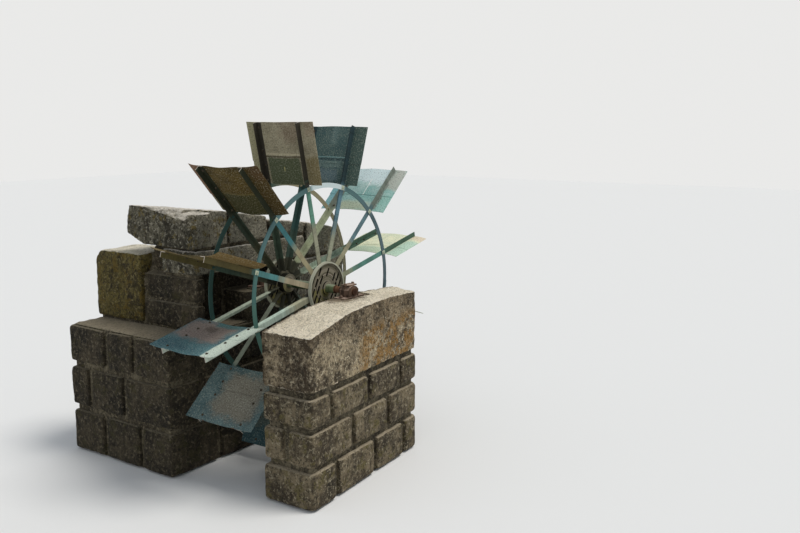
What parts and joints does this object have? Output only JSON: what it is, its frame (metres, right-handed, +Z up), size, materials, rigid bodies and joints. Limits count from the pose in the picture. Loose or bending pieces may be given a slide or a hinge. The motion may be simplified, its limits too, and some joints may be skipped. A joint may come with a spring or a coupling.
{
  "type": "undershot water wheel",
  "caption": "Undershot steel water wheel with flat sheet paddles on angle-iron spokes, turning between a concrete pier and a stone wall with a bearing niche.",
  "frame": {"origin": "on the ground, under the middle of the bounding box of pier, wall and wheel", "axes": "+X downstream along the race, +Y along the shaft from the front pier to the rear wall, +Z up"},
  "size_m": [3.1034, 2.93, 3.1888],
  "materials": {
    "shaft_paint": "matte",
    "disc_iron": "matte",
    "ring_steel": "satin",
    "spoke_paint": "satin",
    "paddle_yellow": "satin",
    "paddle_pale": "satin",
    "paddle_teal": "satin",
    "paddle_beige": "matte",
    "paddle_olive": "matte",
    "paddle_grey": "matte",
    "bearing_rust": "matte",
    "pier_concrete": "matte",
    "wall_stone": "matte",
    "wall_stone_dark": "matte"
  },
  "bodies": {
    "plant": {"front_pier": "pier_concrete", "front_sill": "bearing_rust", "front_bearing": "bearing_rust", "front_bearing_cap": "bearing_rust", "rear_sill": "bearing_rust", "rear_bearing": "bearing_rust", "rear_bearing_cap": "bearing_rust", "rear_plinth": "wall_stone_dark", "rear_footing": "wall_stone_dark", "niche_back": "wall_stone_dark", "stack_stone_low": "wall_stone_dark", "stack_stone_mid": "wall_stone_dark", "stack_stone_high": "wall_stone_dark", "niche_jamb": "wall_stone", "niche_lintel": "wall_stone", "stack_stone_end": "wall_stone", "coping_stone_1": "wall_stone", "coping_stone_2": "wall_stone", "coping_stone_3": "wall_stone", "coping_stone_4": "wall_stone"},
    "wheel": {"shaft": "shaft_paint", "hub_disc_front": "disc_iron", "hub_disc_rear": "disc_iron", "ring_front": "ring_steel", "ring_rear": "ring_steel", "paddle_1": "paddle_yellow", "paddle_2": "paddle_pale", "paddle_3": "paddle_teal", "paddle_4": "paddle_beige", "paddle_5": "paddle_olive", "paddle_6": "paddle_olive", "paddle_7": "paddle_grey", "paddle_8": "paddle_grey", "paddle_9": "paddle_teal", "paddle_10": "paddle_grey", "paddle_11": "paddle_pale", "paddle_12": "paddle_olive", "spoke_pair_1": "spoke_paint", "spoke_pair_2": "spoke_paint", "spoke_pair_3": "spoke_paint", "spoke_pair_4": "spoke_paint", "spoke_pair_5": "spoke_paint", "spoke_pair_6": "spoke_paint", "spoke_pair_7": "spoke_paint", "spoke_pair_8": "spoke_paint", "spoke_pair_9": "spoke_paint", "spoke_pair_10": "spoke_paint", "spoke_pair_11": "spoke_paint", "spoke_pair_12": "spoke_paint"}
  },
  "joints": [
    {"name": "wheel_spin", "type": "hinge", "parent": "plant", "child": "wheel", "pos_m": [0.00166, -0.435, 1.64], "axis": [0, -1, 0], "continuous": true}
  ]
}
